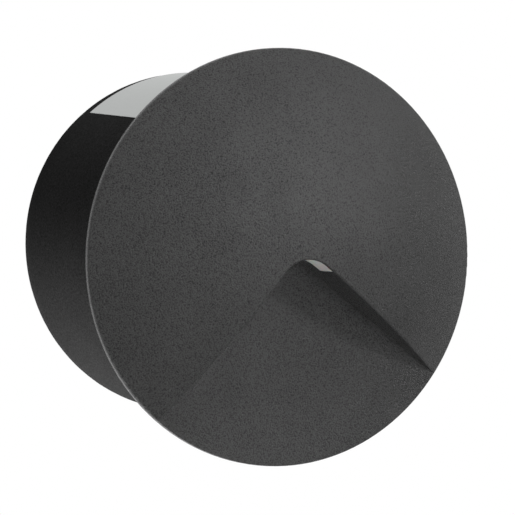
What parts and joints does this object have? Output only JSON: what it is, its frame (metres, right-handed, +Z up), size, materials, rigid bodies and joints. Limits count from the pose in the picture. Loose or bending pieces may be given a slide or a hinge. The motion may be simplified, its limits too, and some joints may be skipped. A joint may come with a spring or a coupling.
{
  "type": "recessed wall light",
  "caption": "Round recessed wall light: a domed faceplate with a dart-shaped cut that throws light down, on a round-ended housing with a cable gland.",
  "frame": {"origin": "centre of the hole in the wall, in the plane of the wall's surface, on the housing's axis", "axes": "+Y along the housing into the wall, the faceplate looks along -Y into the room, +Z up, the light leaves downwards"},
  "size_m": [0.08, 0.0872, 0.08],
  "materials": {
    "powder_coat": "fine textured matt powder coat",
    "housing_paint": "smooth satin black",
    "frosted_lens": "frosted polycarbonate",
    "rubber_black": "matt",
    "white_plastic": "matt",
    "board_white": "white solder mask on aluminium",
    "led_yellow": "gloss",
    "bare_aluminium": "satin",
    "zinc_steel": "bright zinc",
    "spring_steel": "satin",
    "gland_nylon": "matt",
    "case_plastic": "matt",
    "board_green": "solder mask",
    "tape_yellow": "transformer tape and ferrite",
    "capacitor_black": "sleeve",
    "chip_black": "matt",
    "terminal_nylon": "matt",
    "wire_insulation": "matt",
    "mains_insulation": "matt"
  },
  "bodies": {
    "housing": {"housing": "housing_paint", "gland_washer": "rubber_black", "gland_body": "gland_nylon", "gland_locknut": "gland_nylon", "gland_seal": "rubber_black", "gland_cap_nut": "gland_nylon", "driver_case": "case_plastic", "driver_lid": "case_plastic", "driver_screws": "zinc_steel", "driver_board": "board_green", "driver_transformer": "tape_yellow", "driver_capacitors": "capacitor_black", "driver_chip": "chip_black", "output_socket": "white_plastic", "terminal_block": "terminal_nylon", "terminal_screws": "zinc_steel", "terminal_block_screws": "zinc_steel", "mains_leads": "mains_insulation"},
    "faceplate": {"faceplate": "powder_coat", "lens": "frosted_lens", "lens_gasket": "rubber_black", "reflector": "white_plastic", "led_board": "board_white", "led_chips": "led_yellow", "led_board_screws": "zinc_steel", "led_carrier": "bare_aluminium", "carrier_screws": "zinc_steel", "sealing_ring": "rubber_black", "spring_clips": "spring_steel", "clip_screws": "zinc_steel", "output_plug": "white_plastic", "led_leads": "wire_insulation"}
  },
  "joints": [
    {"name": "faceplate_pull", "type": "slide", "parent": "housing", "child": "faceplate", "axis": [0, -1, 0], "range_m": [0, 0.024]}
  ]
}
